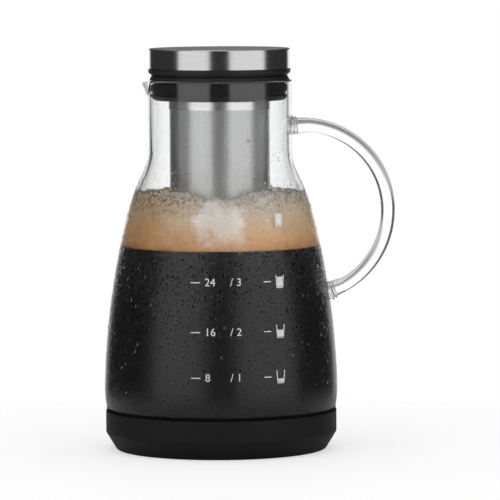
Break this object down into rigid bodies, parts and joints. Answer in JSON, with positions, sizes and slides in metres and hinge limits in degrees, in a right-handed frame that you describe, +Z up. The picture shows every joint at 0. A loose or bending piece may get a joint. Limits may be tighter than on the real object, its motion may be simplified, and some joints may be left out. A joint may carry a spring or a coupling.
{
  "type": "cold brew coffee maker",
  "caption": "Flared glass carafe with a fused loop handle and pulled spout, a boot round its foot, a lift-out filter basket hung in the neck, and a round steel-capped lid.",
  "frame": {"origin": "centre of the flat underside of the base boot, on the carafe's axis", "axes": "+Z up along the carafe's axis, +X towards the handle, -X towards the pouring spout"},
  "size_m": [0.1513, 0.121, 0.2083],
  "materials": {
    "clear_glass": "clear, polished",
    "boot_silicone": "matte",
    "seal_silicone": "satin",
    "filter_steel": "satin",
    "lid_steel": "brushed round",
    "lid_plastic": "satin"
  },
  "bodies": {
    "carafe": {"carafe_glass": "clear_glass", "carafe_handle": "clear_glass", "base_boot": "boot_silicone"},
    "filter": {"filter_sleeve": "seal_silicone", "filter_collar": "filter_steel", "filter_mesh": "filter_steel", "filter_floor": "filter_steel", "filter_end_ring": "filter_steel"},
    "lid": {"lid_cap": "lid_steel", "lid_ring": "lid_plastic", "lid_plug": "lid_plastic", "lid_gasket": "seal_silicone"}
  },
  "joints": [
    {"name": "filter_lift", "type": "slide", "parent": "carafe", "child": "filter", "axis": [0, 0, 1], "range_m": [0, 0.17]},
    {"name": "lid_lift", "type": "slide", "parent": "filter", "child": "lid", "axis": [0, 0, 1], "range_m": [0, 0.05]}
  ]
}
